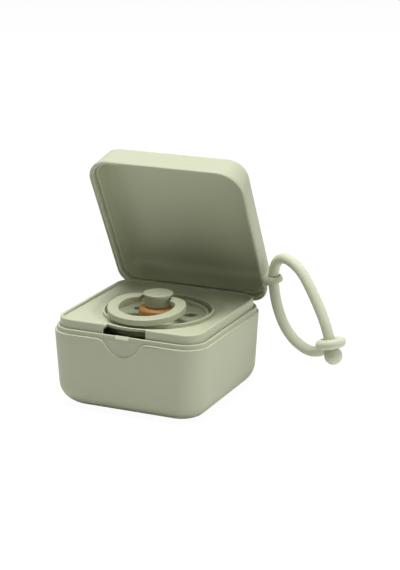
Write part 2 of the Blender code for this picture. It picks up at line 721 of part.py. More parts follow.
def build():
    clear_scene()
    sage = plastic("sage_plastic", SAGE, 0.55)
    sage_silicone = plastic("sage_silicone", SAGE_STRAP, 0.6)
    latex = plastic("latex_rubber", LATEX, 0.4)
    steel = plastic("steel", STEEL, 0.3, 1.0)
    make_base(sage)
    make_pin(steel)
    make_tray(sage)
    pacifier_axis = axis_at("pacifier_axis", (0, 0, shield_face))
    for piece in (make_shield(sage), make_nipple(latex), make_knob(sage)):
        hang_on(piece, pacifier_axis, pacifier_axis.location)
        for modifier in piece.modifiers:
            hang_on(modifier.object, pacifier_axis, pacifier_axis.location)
    make_handle(sage)
    lid_axis = axis_at("lid_axis", hinge_place)
    lid_axis.rotation_euler.x = math.radians(-LID_LEAN)
    make_lid(sage, lid_axis)
    strap_axis = axis_at("strap_axis", eyelet_place - hinge_place, lid_axis)
    upright = Matrix.Rotation(math.radians(LID_LEAN), 4, "X")
    strap_axis.rotation_euler = (upright @ Matrix.Rotation(math.radians(STRAP_TURN), 4, "Z")).to_euler()
    make_strap(sage_silicone, strap_axis)


if __name__ == "__main__":
    build()
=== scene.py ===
import json
import math

import bmesh
import bpy
from mathutils import Matrix, Vector


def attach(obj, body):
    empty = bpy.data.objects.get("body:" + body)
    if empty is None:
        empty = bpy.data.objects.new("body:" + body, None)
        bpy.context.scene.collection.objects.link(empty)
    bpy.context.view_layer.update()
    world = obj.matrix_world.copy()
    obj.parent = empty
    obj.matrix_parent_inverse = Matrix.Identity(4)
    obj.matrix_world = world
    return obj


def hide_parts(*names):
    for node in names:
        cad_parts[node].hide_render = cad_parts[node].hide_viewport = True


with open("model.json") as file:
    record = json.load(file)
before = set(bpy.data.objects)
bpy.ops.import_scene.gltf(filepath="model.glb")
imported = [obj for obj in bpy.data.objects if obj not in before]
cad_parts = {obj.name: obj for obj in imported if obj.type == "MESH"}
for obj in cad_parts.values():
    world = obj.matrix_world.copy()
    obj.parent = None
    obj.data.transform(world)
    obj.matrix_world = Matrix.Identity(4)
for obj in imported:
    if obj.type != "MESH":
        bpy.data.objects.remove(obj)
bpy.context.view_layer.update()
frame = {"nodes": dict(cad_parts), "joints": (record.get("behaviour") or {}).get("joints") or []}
print("frame loaded")

# Pieces are drawn in millimetres and turned to metres when they become objects
mm = 0.001
jointPlaces = {joint["name"]: Vector(joint["pos_m"]) / mm for joint in frame["joints"]}


# Camera: one long lens, a little above the rim and to the right of the front
cameraView = {"azimuth": 24.44, "elevation": 16.51, "distance": 0.73697, "lens": 108.76,
              "target": (0.02027, -0.00087, 0.05198)}


def makeCamera():
    azimuth, elevation = math.radians(cameraView["azimuth"]), math.radians(cameraView["elevation"])
    back = Vector((math.sin(azimuth) * math.cos(elevation), -math.cos(azimuth) * math.cos(elevation),
                   math.sin(elevation)))
    data = bpy.data.cameras.new("camera")
    data.lens = cameraView["lens"]
    camera = bpy.data.objects.new("camera", data)
    bpy.context.scene.collection.objects.link(camera)
    camera.location = Vector(cameraView["target"]) + back * cameraView["distance"]
    camera.rotation_euler = back.to_track_quat("Z", "Y").to_euler()
    bpy.context.scene.camera = camera


makeCamera()
print("camera placed")


# Materials
def hexColour(text):  # an sRGB hex value as linear light
    channels = [int(text[i:i + 2], 16) / 255 for i in (0, 2, 4)]
    return [c / 12.92 if c <= 0.04045 else ((c + 0.055) / 1.055) ** 2.4 for c in channels] + [1]


def addNode(tree, kind, inputs=None, **settings):
    node = tree.nodes.new(kind)
    for name, value in settings.items():
        setattr(node, name, value)
    for name, value in (inputs or {}).items():
        if isinstance(value, bpy.types.NodeSocket):
            tree.links.new(value, node.inputs[name])
        else:
            node.inputs[name].default_value = value
    return node


def newMaterial(name):
    material = bpy.data.materials.new(name)
    material.use_nodes = True
    tree = material.node_tree
    tree.nodes.clear()
    return material, tree


def patternScale(size):  # noise scale that gives grains of this many millimetres
    return 1 / (size * mm)


def addNoise(tree, place, size, detail=2, roughness=0.5):
    return addNode(tree, "ShaderNodeTexNoise", {
        "Vector": place, "Scale": patternScale(size), "Detail": detail, "Roughness": roughness}).outputs[0]


def addBlend(tree, factor, look):  # from the material's dark tone to its light one
    tones = {0: factor, "A": hexColour(look["dark"]), "B": hexColour(look["light"])}
    return addNode(tree, "ShaderNodeMix", tones, data_type="RGBA").outputs["Result"]


# Spark-eroded polypropylene: a dead-soft sheen over grains too fine to count, and faint flow clouds.
# Real grain is about 0.06 mm; it is drawn at 0.30 mm so that it shows in the render at all.
erodedPlastic = {"light": "BEC2A7", "dark": "B7BB9F", "cloud": 24, "grain": 0.30, "bump": 0.05,
                 "rough": (0.47, 0.58), "ior": 1.49}
# The pacifier's own polypropylene comes from a finer polished mould, so it is a little glossier.
satinPlastic = {"light": "B5B99E", "dark": "AFB397", "cloud": 12, "grain": 0.45, "bump": 0.02,
                "rough": (0.38, 0.48), "ior": 1.49}
# Silicone rubber: the same sage, slightly paler, soft and dry to the eye
strapSilicone = {"light": "D2D6BC", "dark": "CBCFB4", "cloud": 9, "grain": 0.38, "bump": 0.035,
                 "rough": (0.52, 0.62), "ior": 1.41}


def makePlastic(name, look, sheen=0.0, softness=0.0):
    material, tree = newMaterial(name)
    place = addNode(tree, "ShaderNodeTexCoord").outputs["Object"]
    cloud = addNoise(tree, place, look["cloud"])
    grain = addNoise(tree, place, look["grain"], roughness=0.6)
    mixed = addNode(tree, "ShaderNodeMath", {0: grain, 1: cloud}, operation="MULTIPLY")
    colour = addBlend(tree, cloud, look)
    rough = addNode(tree, "ShaderNodeMapRange", {
        "Value": mixed.outputs[0], "From Min": 0.1, "From Max": 0.4, "To Min": look["rough"][0],
        "To Max": look["rough"][1]})
    bump = addNode(tree, "ShaderNodeBump", {"Height": grain, "Strength": look["bump"],
                                            "Distance": look["grain"] * mm})
    shader = addNode(tree, "ShaderNodeBsdfPrincipled", {
        "Base Color": colour, "Roughness": rough.outputs[0], "Normal": bump.outputs[0],
        "IOR": look["ior"], "Sheen Weight": sheen, "Subsurface Weight": softness,
        "Subsurface Scale": 1.2 * mm, "Subsurface Radius": (1.0, 1.0, 0.8)})
    addNode(tree, "ShaderNodeOutputMaterial", {"Surface": shader.outputs[0]})
    return material


# Dipped natural rubber: clear amber, lit from inside, with faint runs down the dip
dippedLatex = {"light": "B07F40", "dark": "A27035", "cloud": 3.5, "stretch": 0.25, "bump": 0.1,
               "runDepth": 0.2, "rough": 0.5, "ior": 1.52}


def makeLatex():
    material, tree = newMaterial("dipped_latex")
    place = addNode(tree, "ShaderNodeTexCoord").outputs["Object"]
    runs = addNode(tree, "ShaderNodeMapping", {"Vector": place, "Scale": (1, 1, dippedLatex["stretch"])})
    cloud = addNoise(tree, runs.outputs[0], dippedLatex["cloud"], detail=3)
    colour = addBlend(tree, cloud, dippedLatex)
    bump = addNode(tree, "ShaderNodeBump", {"Height": cloud, "Strength": dippedLatex["bump"],
                                            "Distance": dippedLatex["runDepth"] * mm})
    shader = addNode(tree, "ShaderNodeBsdfPrincipled", {
        "Base Color": colour, "Roughness": dippedLatex["rough"], "Normal": bump.outputs[0],
        "IOR": dippedLatex["ior"], "Subsurface Weight": 0.35, "Subsurface Scale": 1.5 * mm,
        "Subsurface Radius": (1.0, 0.45, 0.2)})
    addNode(tree, "ShaderNodeOutputMaterial", {"Surface": shader.outputs[0]})
    return material


# Cold-drawn steel wire: bright, with fine draw lines along the pin
drawnSteel = {"light": "C4C4C0", "dark": "9C9C98", "line": 0.12, "stretch": 0.02, "rough": (0.22, 0.4)}


def makeSteel():
    material, tree = newMaterial("drawn_steel")
    place = addNode(tree, "ShaderNodeTexCoord").outputs["Object"]
    along = addNode(tree, "ShaderNodeMapping", {"Vector": place, "Scale": (drawnSteel["stretch"], 1, 1)})
    lines = addNoise(tree, along.outputs[0], drawnSteel["line"])
    colour = addBlend(tree, lines, drawnSteel)
    rough = addNode(tree, "ShaderNodeMapRange", {
        "Value": lines, "To Min": drawnSteel["rough"][0], "To Max": drawnSteel["rough"][1]})
    shader = addNode(tree, "ShaderNodeBsdfPrincipled", {
        "Base Color": colour, "Roughness": rough.outputs[0], "Metallic": 1.0})
    addNode(tree, "ShaderNodeOutputMaterial", {"Surface": shader.outputs[0]})
    return material


sagePlastic = makePlastic("eroded_polypropylene", erodedPlastic)
sageSatin = makePlastic("satin_polypropylene", satinPlastic)
sageSilicone = makePlastic("matte_silicone", strapSilicone, sheen=0.12, softness=0.1)
amberLatex = makeLatex()
pinSteel = makeSteel()
print("materials made")


# Modelling helpers
cornerSteps = 20  # in a corner of a rounded square
outlineSteps = 3  # in a small round of an outline; larger rounds have more
leastCorner = 0.6
weldDistance = 0.0005
sharpAngle = 40  # an edge that turns further than this is sharp
level = 0.9999  # a face whose normal is this upright is level
# Small rounds of moulded corners, as cut-backs from the corner
cut = {"crisp": 0.1, "fine": 0.15, "small": 0.2, "light": 0.25, "soft": 0.3, "mild": 0.4, "full": 0.5,
       "large": 0.6, "broad": 0.8}


def arcPoints(centre, radius, start, end, steps):  # angles in degrees
    turns = [math.radians(start + (end - start) * i / steps) for i in range(steps + 1)]
    return [(centre[0] + radius * math.cos(t), centre[1] + radius * math.sin(t)) for t in turns]


def bevelVerts(bm, verts, cutBack, steps):
    bmesh.ops.bevel(bm, geom=verts, offset=cutBack, offset_type="OFFSET", affect="VERTICES", segments=steps,
                    profile=0.5, material=-1, clamp_overlap=False)


def roundedOutline(corners):
    # corners are (across, up, cut-back), and a cut-back above zero rounds that corner
    bm = bmesh.new()
    verts = [bm.verts.new((across, 0, up)) for across, up, cutBack in corners]
    bm.faces.new(verts)
    for vert, (across, up, cutBack) in zip(verts, corners):
        if cutBack:
            bevelVerts(bm, [vert], cutBack, outlineSteps + round(cutBack))
    points = [(vert.co.x, vert.co.z) for vert in bm.faces[:][0].verts]
    bm.free()
    first = min(range(len(points)), key=lambda i: math.dist(points[i], corners[0][:2]))
    return points[first:] + points[:first]


def squareLoop(bm, half, height, corner):
    old = set(bm.edges)
    verts = [bm.verts.new((half * x, half * y, height)) for x, y in ((1, 1), (-1, 1), (-1, -1), (1, -1))]
    bm.faces.new(verts)
    bevelVerts(bm, verts, corner, cornerSteps)
    bmesh.ops.delete(bm, geom=bm.faces[:], context="FACES_ONLY")
    return [edge for edge in bm.edges if edge not in old]


def circleLoop(bm, radius, height):
    old = set(bm.edges)
    bmesh.ops.create_circle(bm, segments=4 * (cornerSteps + 1), radius=radius,
                            matrix=Matrix.Translation((0, 0, height)))
    return [edge for edge in bm.edges if edge not in old]


def squareShell(points, outerHalf, outerCorner, roundWithin=0.0, closed=False, foot=(0.0, 1.0)):
    # a skin over rounded squares; inside roundWithin the loops are circles
    # foot is a height and the share of the inset by which corners below it get tighter
    # the loops stand apart while they are bridged, because flat nested ones can be joined with a twist
    apart = 10.0
    bm = bmesh.new()
    loops = []
    for number, (half, height) in enumerate(points):
        if half < roundWithin:
            loops.append(circleLoop(bm, half, number * apart))
        else:
            share = foot[1] if height < foot[0] else 1.0
            corner = max(outerCorner - share * (outerHalf - half), leastCorner)
            loops.append(squareLoop(bm, half, number * apart, corner))
    pairs = list(zip(loops, loops[1:]))
    if closed:
        pairs.append((loops[-1], loops[0]))
    for below, above in pairs:
        bmesh.ops.bridge_loops(bm, edges=below + above)
    if not closed:
        bmesh.ops.contextual_create(bm, geom=loops[0])
        bmesh.ops.contextual_create(bm, geom=loops[-1])
    for number, (loop, (half, height)) in enumerate(zip(loops, points)):
        verts = list({vert for edge in loop for vert in edge.verts})
        bmesh.ops.translate(bm, vec=(0, 0, height - number * apart), verts=verts)
    return bm


def turned(points, closed=False, steps=96):
    bm = bmesh.new()
    verts = [bm.verts.new((across, 0, up)) for across, up in points]
    edges = [bm.edges.new(pair) for pair in zip(verts, verts[1:])]
    if closed:
        edges.append(bm.edges.new((verts[-1], verts[0])))
    bmesh.ops.spin(bm, geom=verts + edges, axis=(0, 0, 1), cent=(0, 0, 0), angle=2 * math.pi, steps=steps,
                   use_merge=True)
    bmesh.ops.remove_doubles(bm, verts=bm.verts[:], dist=weldDistance)
    return bm


def prism(outline, start, end, axis):
    # an outline drawn across the X, Y or Z axis and extruded along it
    place = {"X": lambda a, b: (start, a, b), "Y": lambda a, b: (a, start, b),
             "Z": lambda a, b: (a, b, start)}[axis]
    bm = bmesh.new()
    face = bm.faces.new([bm.verts.new(place(a, b)) for a, b in outline])
    grown = bmesh.ops.extrude_face_region(bm, geom=[face])["geom"]
    travel = {"X": (end - start, 0, 0), "Y": (0, end - start, 0), "Z": (0, 0, end - start)}[axis]
    ends = [part for part in grown if isinstance(part, bmesh.types.BMVert)]
    bmesh.ops.translate(bm, vec=travel, verts=ends)
    return bm


def rod(radius, start, end, place, axis="X", steps=40):
    outline = [(place[0] + a, place[1] + b) for a, b in arcPoints((0, 0), radius, 0, 360, steps)[:-1]]
    return prism(outline, start, end, axis)


def toPiece(name, bm, material=None, turn=None):
    bmesh.ops.recalc_face_normals(bm, faces=bm.faces[:])
    bmesh.ops.scale(bm, vec=(mm, mm, mm), verts=bm.verts[:])
    if turn:
        bmesh.ops.transform(bm, matrix=turn, verts=bm.verts[:])
    mesh = bpy.data.meshes.new(name)
    bm.to_mesh(mesh)
    bm.free()
    mesh.shade_smooth()
    piece = bpy.data.objects.new(name, mesh)
    bpy.context.scene.collection.objects.link(piece)
    if material:
        mesh.materials.append(material)
    return piece


def carve(piece, bm, operation="DIFFERENCE", turn=None):
    # cuts a shape from a piece or joins it on; level faces are shaded flat
    tool = toPiece("tool", bm, turn=turn)
    modifier = piece.modifiers.new("carve", "BOOLEAN")
    modifier.operation = operation
    modifier.solver = "EXACT"
    modifier.object = tool
    graph = bpy.context.evaluated_depsgraph_get()
    mesh = bpy.data.meshes.new_from_object(piece.evaluated_get(graph))
    for face in mesh.polygons:
        face.use_smooth = abs(face.normal.z) < level
    piece.modifiers.clear()
    piece.data = mesh
    bpy.data.objects.remove(tool)


def evenShading(piece):
    # smooth between sharp edges, for pieces that are cut or joined after their rounding, or not rounded
    piece.data.set_sharp_from_angle(angle=math.radians(sharpAngle))
    normals = piece.modifiers.new("even_shading", "WEIGHTED_NORMAL")
    normals.keep_sharp = True


def roundEdges(piece, width, segments=3):
    # a small round on each sharp edge
    bevel = piece.modifiers.new("edge_round", "BEVEL")
    bevel.width = width * mm
    bevel.segments = segments
    bevel.limit_method = "ANGLE"
    bevel.angle_limit = math.radians(sharpAngle)
    bevel.use_clamp_overlap = False
    bevel.miter_outer = "MITER_ARC"
    normals = piece.modifiers.new("even_shading", "WEIGHTED_NORMAL")
    normals.keep_sharp = False


def settle(piece, body, slot, *nodes):
    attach(piece, body)
    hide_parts(*nodes)


# Strap: cord, ring and ball, in one upright plane through the eyelet
strap = {"radius": 2.35, "ballRadius": 3.95, "ringRadius": 4.5, "ringWire": 2.15, "ringLean": 14.0,
         "turn": -25.0, "curvePoints": 160, "ball": (37.9, -25.95), "ring": (36.2, -20.8)}
# Distance out from the eyelet and height above it, in metres, from the ring round to the ball
strapRoute = (
    (0.0340, -0.0236), (0.0304, -0.0256), (0.0266, -0.0269), (0.0228, -0.02735), (0.0180, -0.0265),
    (0.0127, -0.0243), (0.0078, -0.0204), (0.0040, -0.0150), (0.0014, -0.0090), (0.0001, -0.0030), (0.0, 0.0),
    (0.0, 0.0030), (0.0010, 0.0068), (0.0034, 0.0096), (0.0070, 0.0108), (0.0120, 0.0098),
    (0.0174, 0.0068), (0.0223, 0.0019), (0.0264, -0.0034), (0.0300, -0.0085), (0.0329, -0.0135),
    (0.0349, -0.0180), (0.0360, -0.0215),
)


def smoothRoute(points, count):  # a smooth curve through all the points
    guides = [2 * points[0] - points[1], *points, 2 * points[-1] - points[-2]]
    route = []
    for i in range(count):
        place = i * (len(points) - 1) / (count - 1)
        span = min(int(place), len(points) - 2)
        t = place - span
        a, b, c, d = guides[span:span + 4]
        route.append(b + (c - a) * t / 2 + (a - b * 5 / 2 + 2 * c - d / 2) * t**2
                     + (b * 3 / 2 - a / 2 - c * 3 / 2 + d / 2) * t**3)
    return route


def makeStrap():
    pivot = jointPlaces["strap_swivel"] * mm
    turn = math.radians(strap["turn"])
    outward = Vector((math.cos(turn), math.sin(turn), 0))
    guides = [pivot + outward * out + Vector((0, 0, up)) for out, up in strapRoute]
    route = smoothRoute(guides, strap["curvePoints"])
    curve = bpy.data.curves.new("strap_silicone_cord", "CURVE")
    curve.dimensions = "3D"
    curve.bevel_depth = strap["radius"] * mm
    curve.bevel_resolution = 8
    curve.use_fill_caps = True
    spline = curve.splines.new("POLY")
    spline.points.add(len(route) - 1)
    for point, place in zip(spline.points, route):
        point.co = (*place, 1)
    curve.materials.append(sageSilicone)
    cord = bpy.data.objects.new("strap_silicone_cord", curve)
    bpy.context.scene.collection.objects.link(cord)

    ballPlace, ringPlace = [pivot + (outward * strap[part][0] + Vector((0, 0, strap[part][1]))) * mm
                            for part in ("ball", "ring")]
    bm = bmesh.new()
    bmesh.ops.create_uvsphere(bm, u_segments=48, v_segments=24, radius=strap["ballRadius"])
    ball = toPiece("strap_end_ball", bm, sageSilicone, Matrix.Translation(ballPlace))
    section = arcPoints((strap["ringRadius"], 0), strap["ringWire"], 0, 360, 24)[:-1]
    lean = Matrix.Rotation(turn, 4, "Z") @ Matrix.Rotation(math.radians(-strap["ringLean"]), 4, "Y")
    ring = toPiece("strap_end_ring", turned(section, closed=True, steps=64), sageSilicone,
                   Matrix.Translation(ringPlace) @ lean)
    settle(cord, "strap", "strap_silicone", "strap_cord")
    settle(ball, "strap", "strap_silicone", "strap_ball")
    settle(ring, "strap", "strap_silicone", "strap_ring")


makeStrap()
print("strap made")


# Base shell
base = {"half": 36.05, "corner": 11.0, "draft": 1.7, "footFillet": 9.7, "footShare": 0.45, "stepHeight": 34.0,
        "stepWidth": 1.0, "rimHeight": 36.0, "rimWall": 1.1, "seatHeight": 31.0, "seatLedge": 1.3,
        "cavityDraft": 1.0, "cavityFillet": 9.0, "floor": 2.2, "stepRound": 0.35, "rimRound": 0.35,
        "edge": 0.25, "overrun": 1.2, "buried": 0.6}
scoop = {"halfWidth": 12.0, "depth": 7.1, "shoulder": 5.0}
latchTab = {"halfWidth": 3.2, "height": 1.3, "proud": 0.9, "rise": 0.15, "inner": 0.8, "topFall": 0.05,
            "frontHeight": 0.4}
hinge = {"radius": 2.0, "lidLength": 23.4, "baseLength": 6.0, "pinRadius": 0.9, "gusset": 5.0, "gap": 0.3}


def scoopOutline():
    radius = (scoop["halfWidth"]**2 + scoop["depth"]**2) / (2 * scoop["depth"]) - scoop["shoulder"]
    lowMiddle = base["stepHeight"] - scoop["depth"] + radius
    shoulderMiddle = base["stepHeight"] - scoop["shoulder"]
    slope = math.degrees(math.atan2(lowMiddle - shoulderMiddle, scoop["halfWidth"]))
    left = arcPoints((-scoop["halfWidth"], shoulderMiddle), scoop["shoulder"], 90, slope, 12)
    middle = arcPoints((0, lowMiddle), radius, 180 + slope, 360 - slope, 24)
    right = arcPoints((scoop["halfWidth"], shoulderMiddle), scoop["shoulder"], 180 - slope, 90, 12)
    top = base["stepHeight"] + base["overrun"]
    return left + middle[1:-1] + right + [(scoop["halfWidth"], top), (-scoop["halfWidth"], top)]


def makeBase():
    half, step, rim = base["half"], base["stepHeight"], base["rimHeight"]
    band = half - base["stepWidth"]
    pocket = band - base["rimWall"]
    cavity = pocket - base["seatLedge"]
    points = roundedOutline([
        (0, 0, 0),
        (half - base["draft"], 0, base["footFillet"]),
        (half, step, base["stepRound"]),
        (band, step, cut["fine"]),
        (band, rim, base["rimRound"]),
        (pocket, rim, base["rimRound"]),
        (pocket, base["seatHeight"], 0),
        (cavity, base["seatHeight"], 0),
        (cavity - base["cavityDraft"], base["floor"], base["cavityFillet"]),
        (0, base["floor"], 0),
    ])
    skin = squareShell(points[1:-1], half, base["corner"], foot=(base["footFillet"], base["footShare"]))
    shell = toPiece("base_shell_moulding", skin, sagePlastic)
    carve(shell, prism(scoopOutline(), -half - base["overrun"], -band, "Y"))
    # the latch tab slopes outwards from the top of the rim
    tabTop, tabFoot, tabFront = rim + latchTab["rise"], rim - latchTab["height"], -band - latchTab["proud"]
    tab = [(-band + latchTab["inner"], tabTop), (-band, tabTop - latchTab["topFall"]),
           (tabFront, tabFoot + latchTab["frontHeight"]), (tabFront, tabFoot),
           (-band + base["buried"], tabFoot), (-band + latchTab["inner"], rim - base["buried"])]
    carve(shell, prism(tab, -latchTab["halfWidth"], latchTab["halfWidth"], "X"), "UNION")
    back, middle = jointPlaces["lid_hinge"].yz
    inner = hinge["lidLength"] / 2 + hinge["gap"]
    # each knuckle of the base stands on a gusset that runs down the back wall
    tangent = (back + hinge["radius"] / 2, middle - hinge["radius"] * math.sqrt(0.5))
    gusset = [(half - base["buried"], step - base["edge"]), (half - base["buried"], step - hinge["gusset"]),
              tangent, (back, middle), (back, step - base["edge"])]
    for side in (-1, 1):
        near, far = side * inner, side * (inner + hinge["baseLength"])
        carve(shell, prism(gusset, near, far, "X"), "UNION")
        carve(shell, rod(hinge["radius"], near, far, (back, middle)), "UNION")
    reach = inner + hinge["baseLength"] + base["overrun"]
    carve(shell, rod(hinge["pinRadius"] + hinge["gap"], -reach, reach, (back, middle)))
    roundEdges(shell, base["edge"])
    settle(shell, "base", "shell_plastic", "base_shell")


makeBase()
print("base made")


# Insert tray
tray = {"half": 33.7, "corner": 8.6, "bottom": 31.3, "top": 39.9, "wall": 1.4, "lipWidth": 1.6,
        "lipHeight": 1.2, "lipRound": 0.6, "dishRadius": 29.6, "dishDepth": 1.9, "dishSoft": 1.6,
        "collarRadius": 23.3, "collarWall": 1.0, "collarTop": 38.7, "collarRound": 0.45, "seat": 34.6,
        "seatWidth": 2.8, "seatThickness": 1.2, "windowHalf": 10.1, "windowFloor": 33.6, "windowBack": 30.5,
        "draft": 0.15, "edge": 0.2, "overrun": 1.2}


def makeTray():
    half, top, wall = tray["half"], tray["top"], tray["wall"]
    plate = top - tray["lipHeight"]
    dishFloor = plate - tray["dishDepth"]
    lipInner = half - tray["lipWidth"]
    collar = tray["collarRadius"] + tray["collarWall"]
    tub = collar + wall
    seatBottom = tray["seat"] - tray["seatThickness"]
    seatInner = tray["collarRadius"] - tray["seatWidth"]
    points = roundedOutline([
        (half + tray["draft"], tray["bottom"], 0),
        (half - tray["draft"], top, tray["lipRound"]),
        (lipInner, top, tray["lipRound"]),
        (lipInner, plate, cut["light"]),
        (tray["dishRadius"], plate, tray["dishSoft"]),
        (collar, dishFloor, cut["soft"]),
        (collar, tray["collarTop"], tray["collarRound"]),
        (tray["collarRadius"], tray["collarTop"], tray["collarRound"]),
        (tray["collarRadius"], tray["seat"], cut["small"]),
        (seatInner, tray["seat"], cut["small"]),
        (seatInner, seatBottom, cut["small"]),
        (tub, seatBottom, cut["full"]),
        (tub, dishFloor - wall, cut["soft"]),
        (tray["dishRadius"], plate - wall, cut["full"]),
        (half - wall, plate - wall, cut["soft"]),
        (half - wall, tray["bottom"], 0),
    ])
    squareFrom = (lipInner + tray["dishRadius"]) / 2
    bm = squareShell(points, half, tray["corner"], squareFrom, closed=True)
    plateTray = toPiece("insert_tray_moulding", bm, sagePlastic)
    # the window takes the front wall and the plate behind it, back to a circle round the collar
    across, circle = tray["windowHalf"], tray["windowBack"]
    sweep = math.degrees(math.asin(across / circle))
    window = arcPoints((0, 0), circle, -90 - sweep, -90 + sweep, 24)
    window += [(across, -half - tray["overrun"]), (-across, -half - tray["overrun"])]
    carve(plateTray, prism(window, tray["windowFloor"], top + tray["overrun"], "Z"))
    roundEdges(plateTray, tray["edge"])
    settle(plateTray, "base", "shell_plastic", "insert_tray")


makeTray()
print("tray made")


# Pacifier: shield, nipple, knob and ring handle
shield = {"radius": 22.2, "bottom": 34.9, "top": 37.1, "rimWidth": 1.5, "rimRound": 0.7, "face": 35.0,
          "thickness": 1.6, "faceEdge": 20.1, "hole": 5.9, "ventRadius": 2.9, "ventPlace": 14.0,
          "ventAngles": (30, 150, 270), "ventLip": 0.4, "overrun": 1.0}


def makeShield():
    rimInner = shield["radius"] - shield["rimWidth"]
    under = shield["face"] - shield["thickness"]
    points = roundedOutline([
        (shield["hole"], under, cut["small"]),
        (shield["faceEdge"], under, cut["soft"]),
        (shield["faceEdge"], shield["bottom"], cut["small"]),
        (shield["radius"], shield["bottom"], cut["soft"]),
        (shield["radius"], shield["top"], shield["rimRound"]),
        (rimInner, shield["top"], shield["rimRound"]),
        (rimInner, shield["face"], cut["mild"]),
        (shield["hole"], shield["face"], cut["small"]),
    ])
    plate = toPiece("pacifier_shield_moulding", turned(points, closed=True), sageSatin)
    lip = shield["ventLip"]
    lipRing = arcPoints((shield["ventRadius"] + lip, 0), lip, 0, 360, 16)[:-1]
    for angle in shield["ventAngles"]:
        turn = math.radians(angle)
        place = Vector((math.cos(turn), math.sin(turn), 0)) * shield["ventPlace"]
        lipPlace = Matrix.Translation((place + Vector((0, 0, shield["face"]))) * mm)
        carve(plate, turned(lipRing, closed=True, steps=48), "UNION", lipPlace)
        carve(plate, rod(shield["ventRadius"], under - shield["overrun"], shield["top"], place.xy, "Z"))
    evenShading(plate)
    settle(plate, "pacifier", "pacifier_plastic", "pacifier_shield")


nipple = {"neck": 5.6, "bulb": 9.0, "length": 27.8, "flange": 8.7, "shoulder": 6.8, "flangeBottom": 35.3,
          "flangeHeight": 4.6, "flangeBelow": 1.0, "flangeRound": 1.6, "bore": 3.8, "boreFloor": 31.0}


def makeNipple():
    tip = shield["face"] - shield["thickness"] - nipple["length"]
    joinAngle = math.degrees(math.acos(nipple["neck"] / nipple["bulb"]))
    bulb = arcPoints((0, tip + nipple["bulb"]), nipple["bulb"], -90, joinAngle, 28)
    bottom, side = nipple["flangeBottom"], nipple["flange"]
    top = bottom + nipple["flangeHeight"]
    flange = roundedOutline([
        (0, bottom - nipple["flangeBelow"], 0),
        (nipple["neck"], bottom - nipple["flangeBelow"], 0),
        (nipple["neck"], bottom, cut["small"]),
        (side - cut["mild"], bottom, cut["soft"]),
        (side, top - nipple["flangeRound"], cut["broad"]),
        (side - cut["full"], top - cut["full"], cut["large"]),
        (nipple["shoulder"], top, cut["large"]),
        (nipple["bore"], top + cut["crisp"], cut["crisp"]),
        (nipple["bore"], nipple["boreFloor"], 0),
        (0, nipple["boreFloor"], 0),
    ])
    teat = toPiece("latex_teat", turned([(0, tip)] + bulb[1:] + flange[1:], steps=64), amberLatex)
    settle(teat, "pacifier", "latex", "pacifier_nipple")


knob = {"foot": 40.2, "top": 46.0, "radius": 6.5, "waist": 6.15, "footRadius": 5.85, "stemRadius": 3.5,
        "stemFloor": 31.3, "dish": 0.5, "rim": 1.1, "pegRadius": 0.8, "pegHeight": 43.9, "socketFloor": 3.5,
        "slotFloor": 4.5, "slotHalf": 1.5, "gap": 0.3, "edge": 0.15, "dishSoft": 1.4, "footRound": 0.35,
        "topRound": 0.45, "overrun": 1.0}


def makeKnob():
    foot, top, radius = knob["foot"], knob["top"], knob["radius"]
    points = roundedOutline([
        (0, knob["stemFloor"], 0),
        (knob["stemRadius"], knob["stemFloor"], cut["soft"]),
        (knob["stemRadius"], foot, cut["small"]),
        (knob["footRadius"], foot, knob["footRound"]),
        (knob["waist"], top - 2 * knob["rim"], cut["broad"]),
        (radius, top - knob["rim"], cut["full"]),
        (radius, top, knob["topRound"]),
        (radius - knob["rim"], top, cut["full"]),
        (radius / 2, top - knob["dish"], knob["dishSoft"]),
        (0, top - knob["dish"], 0),
    ])
    button = toPiece("pacifier_knob_moulding", turned(points, steps=72), sageSatin)
    outside = radius + knob["overrun"]
    for side in (-1, 1):
        socket = rod(knob["pegRadius"] + knob["gap"], side * knob["socketFloor"], side * outside,
                     (0, knob["pegHeight"]))
        carve(button, socket)
        # the ring's peg drops in from below, through a slot
        slot = [(-knob["slotHalf"], foot - knob["overrun"]), (knob["slotHalf"], foot - knob["overrun"])]
        slot += arcPoints((0, knob["pegHeight"]), knob["slotHalf"], 0, 180, 12)
        carve(button, prism(slot, side * knob["slotFloor"], side * outside, "X"))
    roundEdges(button, knob["edge"])
    settle(button, "pacifier", "pacifier_plastic", "pacifier_knob")


# The ring lies a little below its pegs' axis (drop), and reaches further below its middle than above (below)
handle = {"radius": 17.0, "width": 4.9, "thickness": 2.45, "below": 0.5, "setBack": 11.4, "hookRadius": 7.0,
          "hookStart": 20.0, "hookSweep": 51.2, "tilt": 5.9, "drop": 0.4, "edge": 0.5, "edgeSteps": 4,
          "pegInner": 3.8}


def hookMiddle():
    start = math.radians(handle["hookStart"])
    reach = handle["radius"] - handle["width"] / 2 - handle["hookRadius"]
    return reach * math.cos(start), reach * math.sin(start) - handle["setBack"]


def handleTip():
    across, along = hookMiddle()
    end = math.radians(handle["hookStart"] + handle["hookSweep"])
    return across + handle["hookRadius"] * math.cos(end), along + handle["hookRadius"] * math.sin(end)


